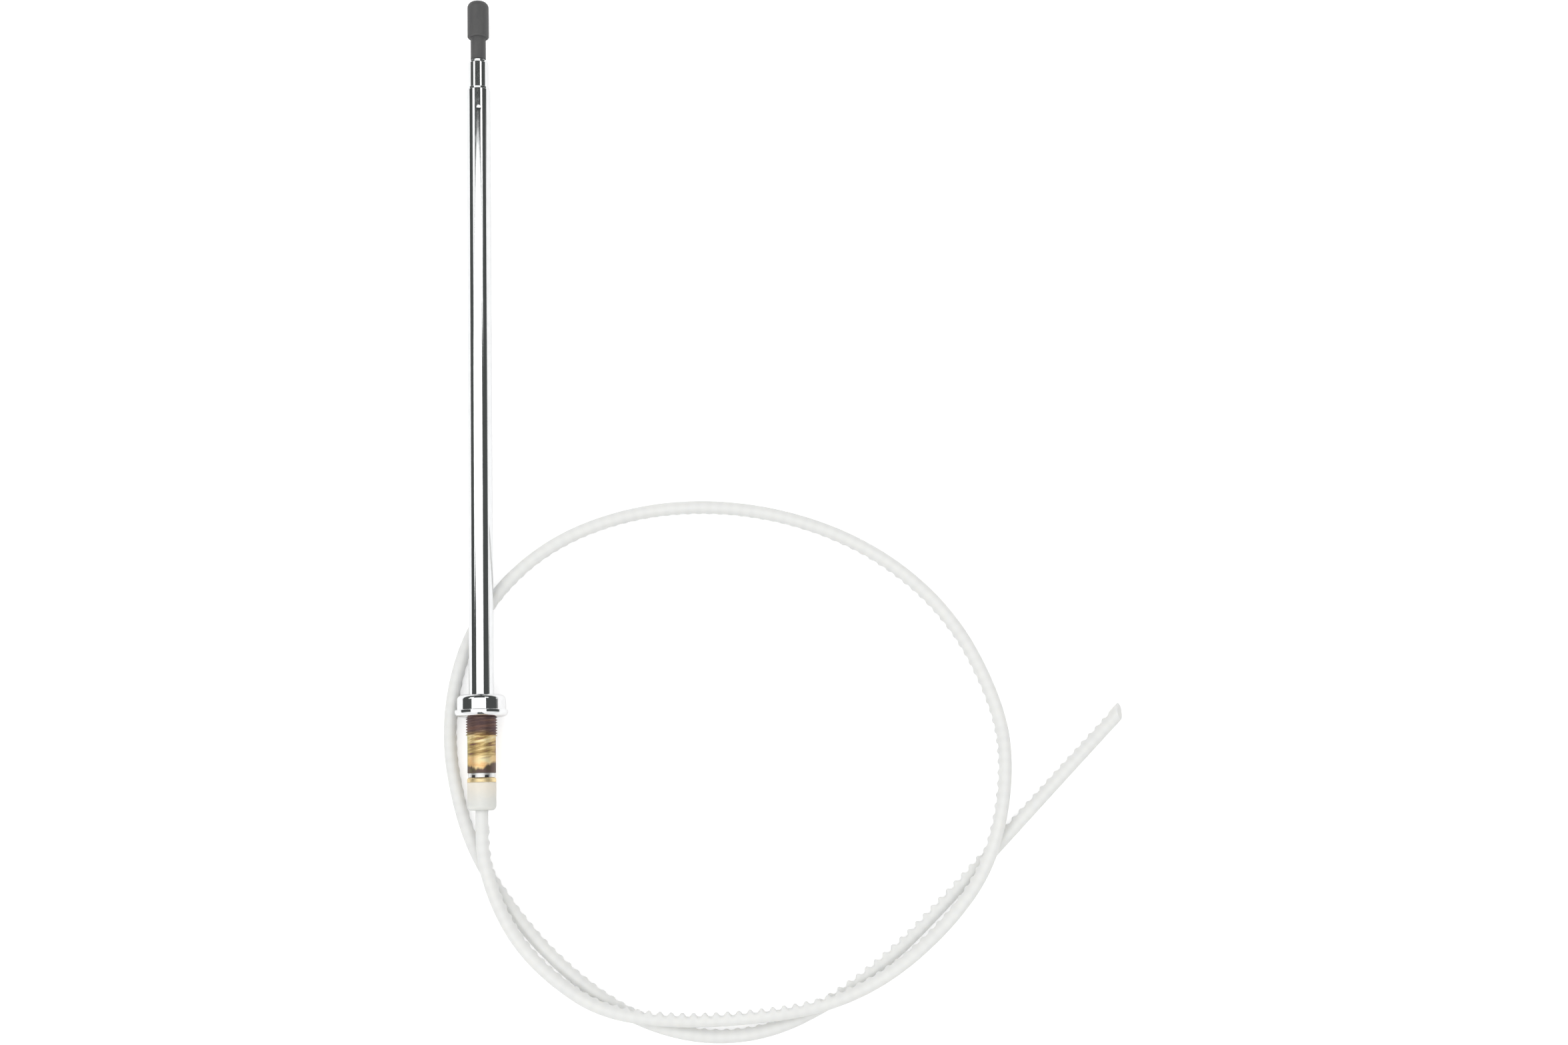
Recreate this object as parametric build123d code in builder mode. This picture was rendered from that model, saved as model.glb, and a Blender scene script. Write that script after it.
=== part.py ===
"""Telescopic mast of a motor-driven car antenna, pushed in and lying on its side.

The mast's axis runs along Y with the tip at +Y, and +Z is up.
The origin is on the floor, under the middle of the pushed-in mast.
Places along the mast are stations: millimetres from the plug's bottom end towards the tip.
"""
import os
from math import pi, radians, tan

from build123d import *

os.makedirs("parts", exist_ok=True)

# Clearances.
press_clearance = 0.05  # radial, between pieces that are pressed or crimped together
sliding_clearance = 0.10  # radial, between pieces that slide or turn on each other
end_clearance = 0.05  # axial, between pieces stacked face to face
turning_clearance = 0.10  # axial, between faces that turn against each other
same_station = 1e-4  # places closer than this along the mast are one station

# Telescoping tubes, from the outside in.
tube_wall = 0.30
outer_tube_diameter = 9.4
second_section_diameter = 8.0
third_section_diameter = 6.4
rod_diameter = 4.4
rod_wall = 0.5
lip_length = 1.2
outer_lip_round = 0.5
section_lip_round = 0.4

# Stations of the mouths and of the lower ends.
outer_mouth = 285.5
second_section_stand_out = 11.25  # mouth of the second section above the outer tube's
third_section_stand_out = 0.6  # mouth of the third section above the second's
plug_floor = 2.5
second_section_bottom = 3.0
third_section_bottom = 3.4
ferrule_bottom = 8.5

# Brass stop rings and the friction shells that sit above them.
stop_ring_length = 4.0
shell_length = 8.0
shell_split = 0.8
slit_reach = 3  # length of the slit's cutter, in shell radii
retaining_ring_length = 1.0
stop_gap = 2.0  # what is left between a ring and the lip above it, at full travel

# Ferrule that joins the rod to the toothed drive cable.
socket_depth = 4.8
ferrule_land = 5.5
ferrule_top_land = 2.0
ferrule_recess = 0.28

# Moulded black tip.
tip_diameter = 8.5
tip_length = 15.6
tip_corner_round = 2.6
tip_shoulder_chamfer = 0.5
neck_diameter = 6.0
neck_length = 8.95
rod_depth_in_tip = 15.5

# Base of the outer tube.
plug_diameter = 11.0
plug_length = 10.6
plug_edge_round = 1.7
plug_bore_clearance = 0.15
base_ring_length = 1.7
base_ring_chamfer = 0.4

# Castellated contact ring below the threaded sleeve.
contact_ring_diameter = 10.4
contact_ring_length = 1.6
contact_spigot_length = 3.0
notch_count = 6
notch_width = 1.7
notch_depth = 0.9

# Threaded sleeve. The thread is modelled as its outside cylinder.
sleeve_body_diameter = 10.8
sleeve_body_length = 13.6
thread_diameter = 12.0
thread_shown_length = 7.7
thread_in_nut_length = 5.5
thread_lead_chamfer = 0.5
relief_width = 0.8
relief_depth = 0.5
sleeve_end_chamfer = 0.15
liner_wall = 0.20

# Round flanged nut.
nut_diameter = 18.7
nut_height = 8.4
nut_top_round = 1.8
flange_diameter = 20.4
flange_thickness = 2.65
flange_seat_diameter = 15.8
flange_setback = 0.65  # how far the rim stands back from the flat seat
flange_edge_round = 0.3
nut_roof = 1.0
seal_thickness = 1.2
liner_collar_thickness = 0.5
liner_collar_diameter = 11.4
nut_bore_chamfer = 0.3

# Drive cable.
cable_diameter = 4.9
cable_start = 13.0  # station of the cable's inner end, inside the ferrule
arc_share = 0.45  # share of the shorter run that each arc of the cable takes up

# What the driving dimensions give.
outer_radius = outer_tube_diameter / 2
outer_bore = outer_radius - tube_wall
second_radius = second_section_diameter / 2
second_bore = second_radius - tube_wall
third_radius = third_section_diameter / 2
third_bore = third_radius - tube_wall
rod_radius = rod_diameter / 2
second_mouth = outer_mouth + second_section_stand_out
third_mouth = second_mouth + third_section_stand_out
neck_bottom = third_mouth + turning_clearance
neck_top = neck_bottom + neck_length
tip_top = neck_top + tip_length
base_ring_bottom = plug_length + end_clearance
base_ring_top = base_ring_bottom + base_ring_length
contact_bottom = base_ring_top + turning_clearance
contact_top = contact_bottom + contact_ring_length
sleeve_bottom = contact_top + turning_clearance
thread_bottom = sleeve_bottom + sleeve_body_length
nut_bottom = thread_bottom + thread_shown_length
sleeve_top = nut_bottom + thread_in_nut_length
nut_top = nut_bottom + nut_height
axis_height = flange_diameter / 2
mast_bottom = -tip_top / 2

# Sketches are drawn with the station along X and the radius along Y.
section_plane = Plane(origin=(0, mast_bottom, axis_height), x_dir=(0, 1, 0), z_dir=(1, 0, 0))
mast_axis = Axis((0, mast_bottom, axis_height), (0, 1, 0))


def cross_plane(station):
    """Plane square to the mast at a station, facing the tip."""
    return Plane(origin=(0, mast_bottom + station, axis_height), x_dir=(1, 0, 0), z_dir=(0, 1, 0))


def edges_at(piece, station):
    """The circular edges of a turned piece at one station, narrowest first."""
    circles = piece.edges().filter_by(GeomType.CIRCLE)
    place = mast_bottom + station
    found = [e for e in circles if abs(e.center().Y - place) < same_station]
    return sorted(found, key=lambda e: e.radius)


def turn(*outline):
    """Turn a closed outline of (station, radius) points about the mast."""
    with BuildSketch(section_plane) as profile:
        with BuildLine():
            Polyline(*outline, close=True)
        make_face()
    revolve(profile.sketch, axis=mast_axis)


def turn_ring(bottom, top, inner_radius, rim_radius):
    """Turn a ring with square ends."""
    turn((bottom, inner_radius), (bottom, rim_radius), (top, rim_radius), (top, inner_radius))


def turn_lipped_tube(piece, bottom, mouth, radius, bore, passing_radius, lip_round):
    """Turn a drawn tube whose mouth is rolled in over the next section."""
    mouth_radius = passing_radius + sliding_clearance
    turn(
        (bottom, bore),
        (bottom, radius),
        (mouth, radius),
        (mouth, mouth_radius),
        (mouth - lip_length, mouth_radius),
        (mouth - lip_length, bore),
    )
    fillet(edges_at(piece, mouth)[-1], lip_round)


def turn_split_shells(bottom, inner_radius, shell_radius):
    """Turn a ring and split it along the mast on both sides, into two spring shells."""
    turn_ring(bottom, bottom + shell_length, inner_radius, shell_radius)
    with BuildSketch(cross_plane(bottom)) as slit:
        Rectangle(slit_reach * shell_radius, shell_split)
    extrude(slit.sketch, amount=shell_length, mode=Mode.SUBTRACT)


# Outer tube with its rolled mouth. Its lower end stands on the plug's floor.
with BuildPart() as outer_tube:
    turn_lipped_tube(
        outer_tube,
        plug_floor + end_clearance,
        outer_mouth,
        outer_radius,
        outer_bore,
        second_radius,
        outer_lip_round,
    )

# Second section, with a stop ring and friction shells on its lower end.
with BuildPart() as second_section:
    turn_lipped_tube(
        second_section,
        second_section_bottom,
        second_mouth,
        second_radius,
        second_bore,
        third_radius,
        section_lip_round,
    )

second_ring_top = second_section_bottom + stop_ring_length
second_shell_top = second_ring_top + end_clearance + shell_length
second_retaining_top = second_shell_top + end_clearance + retaining_ring_length
second_slide_radius = outer_bore - sliding_clearance
with BuildPart() as second_stop_ring:
    turn_ring(second_section_bottom, second_ring_top, second_radius + press_clearance, second_slide_radius)
with BuildPart() as second_friction_shells:
    turn_split_shells(
        second_ring_top + end_clearance, second_radius + press_clearance, second_slide_radius
    )
with BuildPart() as second_retaining_ring:
    turn_ring(
        second_shell_top + end_clearance,
        second_retaining_top,
        second_radius + press_clearance,
        second_slide_radius,
    )

# Third section, built in the same way.
with BuildPart() as third_section:
    turn_lipped_tube(
        third_section,
        third_section_bottom,
        third_mouth,
        third_radius,
        third_bore,
        rod_radius,
        section_lip_round,
    )

third_ring_top = third_section_bottom + stop_ring_length
third_shell_top = third_ring_top + end_clearance + shell_length
third_retaining_top = third_shell_top + end_clearance + retaining_ring_length
third_slide_radius = second_bore - sliding_clearance
with BuildPart() as third_stop_ring:
    turn_ring(third_section_bottom, third_ring_top, third_radius + press_clearance, third_slide_radius)
with BuildPart() as third_friction_shells:
    turn_split_shells(
        third_ring_top + end_clearance, third_radius + press_clearance, third_slide_radius
    )
with BuildPart() as third_retaining_ring:
    turn_ring(
        third_shell_top + end_clearance,
        third_retaining_top,
        third_radius + press_clearance,
        third_slide_radius,
    )

# Inner rod, a small tube that runs from the ferrule up into the tip.
rod_bottom = ferrule_bottom + ferrule_land
rod_top = neck_bottom + rod_depth_in_tip
with BuildPart() as inner_rod:
    turn_ring(rod_bottom + end_clearance, rod_top, rod_radius - rod_wall, rod_radius)

# Ferrule: a socket for the cable below, a bore for the rod above, a recess for its shells.
ferrule_radius = third_bore - sliding_clearance
ferrule_recess_radius = ferrule_radius - ferrule_recess
recess_top = rod_bottom + shell_length + 2 * end_clearance
ferrule_top = recess_top + ferrule_top_land
socket_radius = cable_diameter / 2 + sliding_clearance
with BuildPart() as rod_ferrule:
    turn(
        (ferrule_bottom, socket_radius),
        (ferrule_bottom, ferrule_radius),
        (rod_bottom, ferrule_radius),
        (rod_bottom, ferrule_recess_radius),
        (recess_top, ferrule_recess_radius),
        (recess_top, ferrule_radius),
        (ferrule_top, ferrule_radius),
        (ferrule_top, rod_radius + press_clearance),
        (rod_bottom, rod_radius + press_clearance),
        (rod_bottom, 0),
        (ferrule_bottom + socket_depth, 0),
        (ferrule_bottom + socket_depth, socket_radius),
    )
with BuildPart() as rod_friction_shells:
    turn_split_shells(
        rod_bottom + end_clearance, ferrule_recess_radius + press_clearance, ferrule_radius
    )

# Moulded tip: a crowned head on a narrower neck, bored for the rod.
tip_radius = tip_diameter / 2
neck_radius = neck_diameter / 2
tip_bore = rod_radius + press_clearance
with BuildPart() as tip_cap:
    turn(
        (rod_top + end_clearance, 0),
        (rod_top + end_clearance, tip_bore),
        (neck_bottom, tip_bore),
        (neck_bottom, neck_radius),
        (neck_top, neck_radius),
        (neck_top, tip_radius),
        (tip_top, tip_radius),
        (tip_top, 0),
    )
    fillet(edges_at(tip_cap, tip_top), tip_corner_round)
    chamfer(edges_at(tip_cap, neck_top)[-1], tip_shoulder_chamfer)

# Nylon plug over the tube's lower end, bored for the drive cable.
plug_radius = plug_diameter / 2
plug_bore = cable_diameter / 2 + plug_bore_clearance
tube_seat_radius = outer_radius + press_clearance
with BuildPart() as base_plug:
    turn(
        (0, plug_bore),
        (0, plug_radius),
        (plug_length, plug_radius),
        (plug_length, tube_seat_radius),
        (plug_floor, tube_seat_radius),
        (plug_floor, plug_bore),
    )
    fillet(edges_at(base_plug, 0)[-1], plug_edge_round)

# Brass ring crimped on the tube above the plug. It stops the sliding collar.
with BuildPart() as base_ring:
    turn_ring(base_ring_bottom, base_ring_top, tube_seat_radius, plug_radius)
    chamfer(edges_at(base_ring, base_ring_top)[-1], base_ring_chamfer)

# Castellated contact ring with a thin spigot that guides the threaded sleeve.
running_radius = outer_radius + sliding_clearance
liner_radius = running_radius + liner_wall
sleeve_bore = liner_radius + press_clearance
spigot_top = contact_top + contact_spigot_length
with BuildPart() as contact_ring:
    turn(
        (contact_bottom, running_radius),
        (contact_bottom, contact_ring_diameter / 2),
        (contact_top, contact_ring_diameter / 2),
        (contact_top, liner_radius),
        (spigot_top, liner_radius),
        (spigot_top, running_radius),
    )
    with BuildSketch(cross_plane(contact_bottom)):
        with PolarLocations(contact_ring_diameter / 2, notch_count):
            Rectangle(contact_ring_diameter / 2, notch_width)
    extrude(amount=notch_depth, mode=Mode.SUBTRACT)

# Threaded sleeve: a plain body as thick as the thread's root, the thread, a relief at the nut.
sleeve_radius = sleeve_body_diameter / 2
thread_radius = thread_diameter / 2
with BuildPart() as threaded_sleeve:
    turn(
        (sleeve_bottom, sleeve_bore),
        (sleeve_bottom, sleeve_radius),
        (thread_bottom, sleeve_radius),
        (thread_bottom + thread_lead_chamfer, thread_radius),
        (nut_bottom, thread_radius),
        (nut_bottom, thread_radius - relief_depth),
        (nut_bottom + relief_width, thread_radius - relief_depth),
        (nut_bottom + relief_width, thread_radius),
        (sleeve_top, thread_radius),
        (sleeve_top, sleeve_bore),
    )
    chamfer(edges_at(threaded_sleeve, sleeve_bottom)[-1], sleeve_end_chamfer)
    chamfer(edges_at(threaded_sleeve, sleeve_top)[-1], sleeve_end_chamfer)

# Insulating liner inside the sleeve, hung from a thin collar on the sleeve's top end.
liner_bottom = spigot_top + turning_clearance
liner_shoulder = sleeve_top + end_clearance
liner_top = liner_shoulder + liner_collar_thickness
with BuildPart() as insulating_liner:
    turn(
        (liner_bottom, running_radius),
        (liner_bottom, liner_radius),
        (liner_shoulder, liner_radius),
        (liner_shoulder, liner_collar_diameter / 2),
        (liner_top, liner_collar_diameter / 2),
        (liner_top, running_radius),
    )

# Rubber seal between the liner's collar and the nut's roof.
seal_bottom = liner_top + end_clearance
seal_top = seal_bottom + seal_thickness
with BuildPart() as nut_seal:
    turn_ring(seal_bottom, seal_top, running_radius, liner_collar_diameter / 2)

# Round nut with a flange that cones back from its flat seat, screwed down on the sleeve.
nut_radius = nut_diameter / 2
flange_radius = flange_diameter / 2
nut_bore = thread_radius + press_clearance
nut_mouth = running_radius + sliding_clearance
roof_bottom = nut_top - nut_roof
flange_top = nut_bottom + flange_thickness
rim_bottom = nut_bottom + flange_setback
with BuildPart() as collar_nut:
    turn(
        (nut_bottom, nut_bore),
        (nut_bottom, flange_seat_diameter / 2),
        (rim_bottom, flange_radius),
        (flange_top, flange_radius),
        (flange_top, nut_radius),
        (nut_top, nut_radius),
        (nut_top, nut_mouth),
        (roof_bottom, nut_mouth),
        (roof_bottom, nut_bore),
    )
    fillet(edges_at(collar_nut, nut_top)[-1], nut_top_round)
    fillet(edges_at(collar_nut, rim_bottom)[-1], flange_edge_round)
    fillet(edges_at(collar_nut, flange_top)[-1], flange_edge_round)
    chamfer(edges_at(collar_nut, nut_top)[0], nut_bore_chamfer)

# Route of the drive cable, chosen by hand: out of the plug, once round the loop above the
# second lap, down to the floor on the right, under the mast, and out to the bare end.
floor_height = cable_diameter / 2
cable_route = [
    (0.0, mast_bottom + cable_start, axis_height),
    (0.0, -163.0, axis_height),
    (0.6, -178.5, 9.8),
    (5.3, -196.5, 8.9),
    (13.5, -212.5, 8.2),
    (26.0, -226.5, 7.9),
    (44.5, -237.0, 7.9),
    (69.5, -241.5, 8.1),
    (97.0, -241.0, 7.8),
    (127.0, -237.5, 8.1),
    (153.0, -227.0, 7.8),
    (177.5, -207.0, 7.9),
    (192.5, -184.5, 8.1),
    (200.5, -154.5, 5.6),
    (199.5, -127.0, floor_height),
    (182.5, -88.5, floor_height),
    (150.0, -61.5, floor_height),
    (108.0, -46.0, floor_height),
    (63.5, -44.8, floor_height),
    (23.0, -59.5, floor_height),
    (-5.5, -88.5, floor_height),
    (-15.2, -128.0, floor_height),
    (-8.8, -166.0, floor_height),
    (3.0, -190.5, floor_height),
    (23.5, -216.0, floor_height),
    (50.0, -237.3, floor_height),
    (78.0, -248.2, floor_height),
    (106.0, -247.2, floor_height),
    (132.0, -235.5, floor_height),
    (156.2, -218.8, floor_height),
    (178.5, -197.5, floor_height),
    (198.5, -176.3, floor_height),
    (221.0, -154.0, floor_height),
    (245.7, -126.7, floor_height),
]


def arc_radii(points):
    """Radius of the arc at each inner point, from the shorter of its two runs and its turn."""
    radii = []
    for before, here, after in zip(points, points[1:], points[2:]):
        run_in = Vector(here) - Vector(before)
        run_out = Vector(after) - Vector(here)
        shorter_run = min(run_in.length, run_out.length)
        half_turn = radians(run_in.get_angle(run_out) / 2)
        radii.append(arc_share * shorter_run / tan(half_turn))
    return radii


cable_radii = arc_radii(cable_route)
with BuildPart() as drive_cable:
    with BuildLine() as cable_path:
        FilletPolyline(*cable_route, radius=cable_radii)
    with BuildSketch(cable_path.line ^ 0):
        Circle(cable_diameter / 2)
    sweep(path=cable_path.line)

cable_length = cable_path.wire().length

cable_section = pi * (cable_diameter / 2) ** 2
print("cable radii", [round(r, 1) for r in cable_radii])
volume_share = drive_cable.part.volume / (cable_section * cable_length)
print("cable length", round(cable_length, 1))
print("cable volume over section times length", round(volume_share, 4))

# How far each section travels before its rings are a small gap short of the lip above them.
second_stroke = outer_mouth - lip_length - stop_gap - second_retaining_top
third_stroke = second_mouth - lip_length - stop_gap - third_retaining_top
rod_stroke = third_mouth - lip_length - stop_gap - ferrule_top
print("strokes", round(second_stroke, 2), round(third_stroke, 2), round(rod_stroke, 2))

pieces = {
    "outer_tube": outer_tube,
    "second_section": second_section,
    "second_stop_ring": second_stop_ring,
    "second_friction_shells": second_friction_shells,
    "second_retaining_ring": second_retaining_ring,
    "third_section": third_section,
    "third_stop_ring": third_stop_ring,
    "third_friction_shells": third_friction_shells,
    "third_retaining_ring": third_retaining_ring,
    "inner_rod": inner_rod,
    "rod_ferrule": rod_ferrule,
    "rod_friction_shells": rod_friction_shells,
    "tip_cap": tip_cap,
    "base_plug": base_plug,
    "base_ring": base_ring,
    "contact_ring": contact_ring,
    "threaded_sleeve": threaded_sleeve,
    "insulating_liner": insulating_liner,
    "nut_seal": nut_seal,
    "collar_nut": collar_nut,
    "drive_cable": drive_cable,
}
for name, piece in pieces.items():
    piece.part.label = name
    export_step(piece.part, f"parts/{name}.step")
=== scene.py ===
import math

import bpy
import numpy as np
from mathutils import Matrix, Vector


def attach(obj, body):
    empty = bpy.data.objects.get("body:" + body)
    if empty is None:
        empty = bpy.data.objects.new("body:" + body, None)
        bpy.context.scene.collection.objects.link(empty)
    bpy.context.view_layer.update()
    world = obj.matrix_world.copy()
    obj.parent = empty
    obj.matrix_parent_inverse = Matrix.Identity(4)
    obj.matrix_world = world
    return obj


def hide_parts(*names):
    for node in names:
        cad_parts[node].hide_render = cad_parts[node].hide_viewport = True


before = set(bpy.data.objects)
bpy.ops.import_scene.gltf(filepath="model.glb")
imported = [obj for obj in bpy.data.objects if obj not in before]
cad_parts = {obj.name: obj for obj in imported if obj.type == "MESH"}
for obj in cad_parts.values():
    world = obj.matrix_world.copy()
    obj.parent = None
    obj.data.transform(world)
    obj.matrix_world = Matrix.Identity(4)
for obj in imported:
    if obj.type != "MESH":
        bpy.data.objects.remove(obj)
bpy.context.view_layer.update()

# Telescopic mast of a motor-driven car antenna, pushed in and lying on its side, with the
# toothed nylon cable that drives it. The mast's axis runs along Y with the tip at +Y, and
# +Z is up. Places along the mast are stations: millimetres from the plug's bottom end
# towards the tip. Shapes are worked out in millimetres and become metres in the meshes.

MM = 0.001
AXIS_HEIGHT = 10.2
MAST_BOTTOM = -161.0
SUPPORT = 0.04  # distance of the loops that keep a turned piece's straight sides straight


def mesh_piece(name, points, quads, fans=(), smooth_angle=38):
    """Object at the origin with a mesh of quads and triangles, its faces turned outwards.

    The signed volume, a sixth of the sum of each triangle's triple product, tells whether the
    faces have to be turned round.
    """
    corners = points[quads]
    volume = 0.0
    for a, b, c in ((0, 1, 2), (0, 2, 3)):
        cross = np.cross(corners[:, b], corners[:, c])
        volume += np.einsum("ij,ij->", corners[:, a], cross)
    faces = quads.tolist()
    for fan in fans:
        tri = points[fan]
        volume += np.einsum("ij,ij->", tri[:, 0], np.cross(tri[:, 1], tri[:, 2]))
        faces += fan.tolist()
    if volume < 0:
        faces = [face[::-1] for face in faces]
    mesh = bpy.data.meshes.new(name)
    mesh.from_pydata((points * MM).tolist(), [], faces)
    mesh.shade_smooth()
    mesh.set_sharp_from_angle(angle=math.radians(smooth_angle))
    mesh.validate()
    mesh.update()
    piece = bpy.data.objects.new(name, mesh)
    bpy.context.scene.collection.objects.link(piece)
    return piece


def grid_quads(rows, columns, closed_rows):
    """Quads of a grid of rows by columns whose columns always join up round the back."""
    last = rows if closed_rows else rows - 1
    row, column = np.meshgrid(np.arange(last), np.arange(columns), indexing="ij")
    next_row = (row + 1) % rows
    next_column = (column + 1) % columns
    quads = [
        row * columns + column,
        row * columns + next_column,
        next_row * columns + next_column,
        next_row * columns + column,
    ]
    return np.stack(quads, axis=-1).reshape(-1, 4)


def end_fan(ring_start, columns, pole, forwards):
    """Triangles from one pole vertex to a ring of vertices."""
    here = ring_start + np.arange(columns)
    after = ring_start + (np.arange(columns) + 1) % columns
    poles = np.full(columns, pole)
    order = (poles, here, after) if forwards else (poles, after, here)
    return np.stack(order, axis=-1)


def rounded_outline(corners, closed, arc_steps=7):
    """Outline of (station, radius, rounding) corners, with each corner turned into an arc.

    The arc touches both sides at rounding / tan(half the corner's angle). Its centre lies on
    the corner's bisector, at rounding / sin(half the angle), and its points are the spherical
    mean of the two radii that end at the sides. Each arc has a support point on either side.
    """
    spots = np.array([c[:2] for c in corners], float)
    count = len(corners)
    line = []
    for i, (station, radius, rounding) in enumerate(corners):
        here = spots[i]
        at_end = not closed and i in (0, count - 1)
        if at_end or rounding <= 0:
            line.append(here[None])
            continue
        back = spots[i - 1] - here
        ahead = spots[(i + 1) % count] - here
        back_length, ahead_length = np.hypot(*back), np.hypot(*ahead)
        back, ahead = back / back_length, ahead / ahead_length
        half = math.acos(float(np.clip(back @ ahead, -1, 1))) / 2
        reach = rounding / math.tan(half)
        bisector = (back + ahead) / np.hypot(*(back + ahead))
        centre = here + bisector * rounding / math.sin(half)
        first = here + back * reach - centre
        last = here + ahead * reach - centre
        turn = math.pi - 2 * half
        share = np.linspace(0, 1, arc_steps)[:, None]
        arc = centre + (
            np.sin((1 - share) * turn) * first + np.sin(share * turn) * last
        ) / math.sin(turn)
        if back_length > 2 * (reach + SUPPORT):
            line.append((here + back * (reach + SUPPORT))[None])
        line.append(arc)
        if ahead_length > 2 * (reach + SUPPORT):
            line.append((here + ahead * (reach + SUPPORT))[None])
    return np.concatenate(line)


def around(stations, radii, angles):
    """Points at stations and radii about the mast's axis, with the angle measured from up."""
    x = radii * np.sin(angles)
    y = MAST_BOTTOM + stations + 0 * x
    z = AXIS_HEIGHT + radii * np.cos(angles)
    return np.stack([x, y, z], axis=-1)


def turned(name, corners, closed=True, sides=160, arc_steps=7, angles=None, shift=None):
    """Piece turned about the mast: radius and station of the outline at every angle.

    shift(station, radius, angle) may move the grid's points and gives the new stations and
    radii. An open outline starts and ends on the axis, where the rings close in poles.
    """
    outline = rounded_outline(corners, closed, arc_steps)
    if angles is None:
        angles = np.linspace(0, 2 * math.pi, sides, endpoint=False)
    poles = None
    if not closed:
        poles = outline[[0, -1]]
        outline = outline[1:-1]
    station, angle = np.meshgrid(outline[:, 0], angles, indexing="ij")
    radius = np.broadcast_to(outline[:, 1:2], station.shape)
    if shift is not None:
        station, radius = shift(station, radius, angle)
    points = around(station, radius, angle).reshape(-1, 3)
    quads = grid_quads(len(outline), len(angles), closed)
    if closed:
        return mesh_piece(name, points, quads)
    tips = around(poles[:, 0], poles[:, 1], np.zeros(2))
    count = len(points)
    last_ring = count - len(angles)
    fans = [
        end_fan(0, len(angles), count, False),
        end_fan(last_ring, len(angles), count + 1, True),
    ]
    return mesh_piece(name, np.concatenate([points, tips]), quads, fans)


class Field:
    """One output socket of a material, with arithmetic for the numbers it carries."""

    def __init__(self, finish, socket):
        self.finish = finish
        self.socket = socket

    def math(self, operation, *values):
        inputs = dict(enumerate(values))
        return self.finish.add("Math", {"operation": operation}, inputs)

    def __add__(self, other):
        return self.math("ADD", self, other)

    def __sub__(self, other):
        return self.math("SUBTRACT", self, other)

    def __rsub__(self, other):
        return self.math("SUBTRACT", other, self)

    def __mul__(self, other):
        return self.math("MULTIPLY", self, other)

    def __pow__(self, other):
        return self.math("POWER", self, other)

    __radd__ = __add__
    __rmul__ = __mul__


class Finish:
    """A material and its nodes."""

    def __init__(self, name, tree=None):
        if tree is None:
            self.material = bpy.data.materials.new(name)
            self.material.use_nodes = True
            tree = self.material.node_tree
        self.tree = tree
        tree.nodes.clear()

    def add(self, kind, settings=None, inputs=None, out=0):
        """New node: its type, then its settings, then its sockets' values or links."""
        node = self.tree.nodes.new("ShaderNode" + kind)
        for key, value in (settings or {}).items():
            if key == "stops":
                self.set_stops(node.color_ramp, value)
            else:
                setattr(node, key, value)
        for key, value in (inputs or {}).items():
            if isinstance(value, Field):
                self.tree.links.new(value.socket, node.inputs[key])
            else:
                node.inputs[key].default_value = value
        return Field(self, node.outputs[out]) if len(node.outputs) else node

    @staticmethod
    def set_stops(ramp, stops):
        while len(ramp.elements) < len(stops):
            ramp.elements.new(0.5)
        for element, (place, colour) in zip(ramp.elements, stops):
            element.position = place
            element.color = colour

    def mix(self, share, first, second):
        """Colour between two colours."""
        sockets = {0: share, 6: first, 7: second}
        return self.add("Mix", {"data_type": "RGBA"}, sockets, out=2)

    def ramp(self, value, *stops):
        """Colour looked up from stops of (place, colour)."""
        return self.add("ValToRGB", {"stops": stops}, {0: value})

    def step(self, value, low, high):
        """Number that rises smoothly from 0 to 1 as value goes from low to high."""
        settings = {"interpolation_type": "SMOOTHSTEP"}
        return self.add("MapRange", settings, {0: value, 1: low, 2: high, 3: 0.0, 4: 1.0})

    def place(self):
        """Object coordinates: the sockets of x, y and z in metres."""
        vector = self.add("TexCoord", out="Object")
        return [self.add("SeparateXYZ", None, {0: vector}, out=i) for i in range(3)]

    def vector(self, x, y, z):
        return self.add("CombineXYZ", None, {0: x, 1: y, 2: z})

    def noise(self, vector, scale, detail=3.0, roughness=0.55, distortion=0.0):
        inputs = {"Vector": vector, "Scale": scale, "Detail": detail}
        inputs |= {"Roughness": roughness, "Distortion": distortion}
        return self.add("TexNoise", None, inputs)

    def bump(self, height, distance, strength=1.0):
        inputs = {"Height": height, "Distance": distance, "Strength": strength}
        return self.add("Bump", None, inputs)

    def mast_place(self):
        """Station in millimetres, angle about the mast from up, and radius in millimetres."""
        x, y, z = self.place()
        height = z - AXIS_HEIGHT * MM
        angle = x.math("ARCTAN2", x, height)
        radius = (x * x + height * height) ** 0.5
        return (y - MAST_BOTTOM * MM) * 1000.0, angle, radius * 1000.0

    def surface(self, inputs):
        """Principled surface on the material's output."""
        shader = self.add("BsdfPrincipled", None, inputs)
        self.add("OutputMaterial", None, {"Surface": shader})
        return self.material


def rgb(red, green, blue):
    return (red, green, blue, 1.0)


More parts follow.
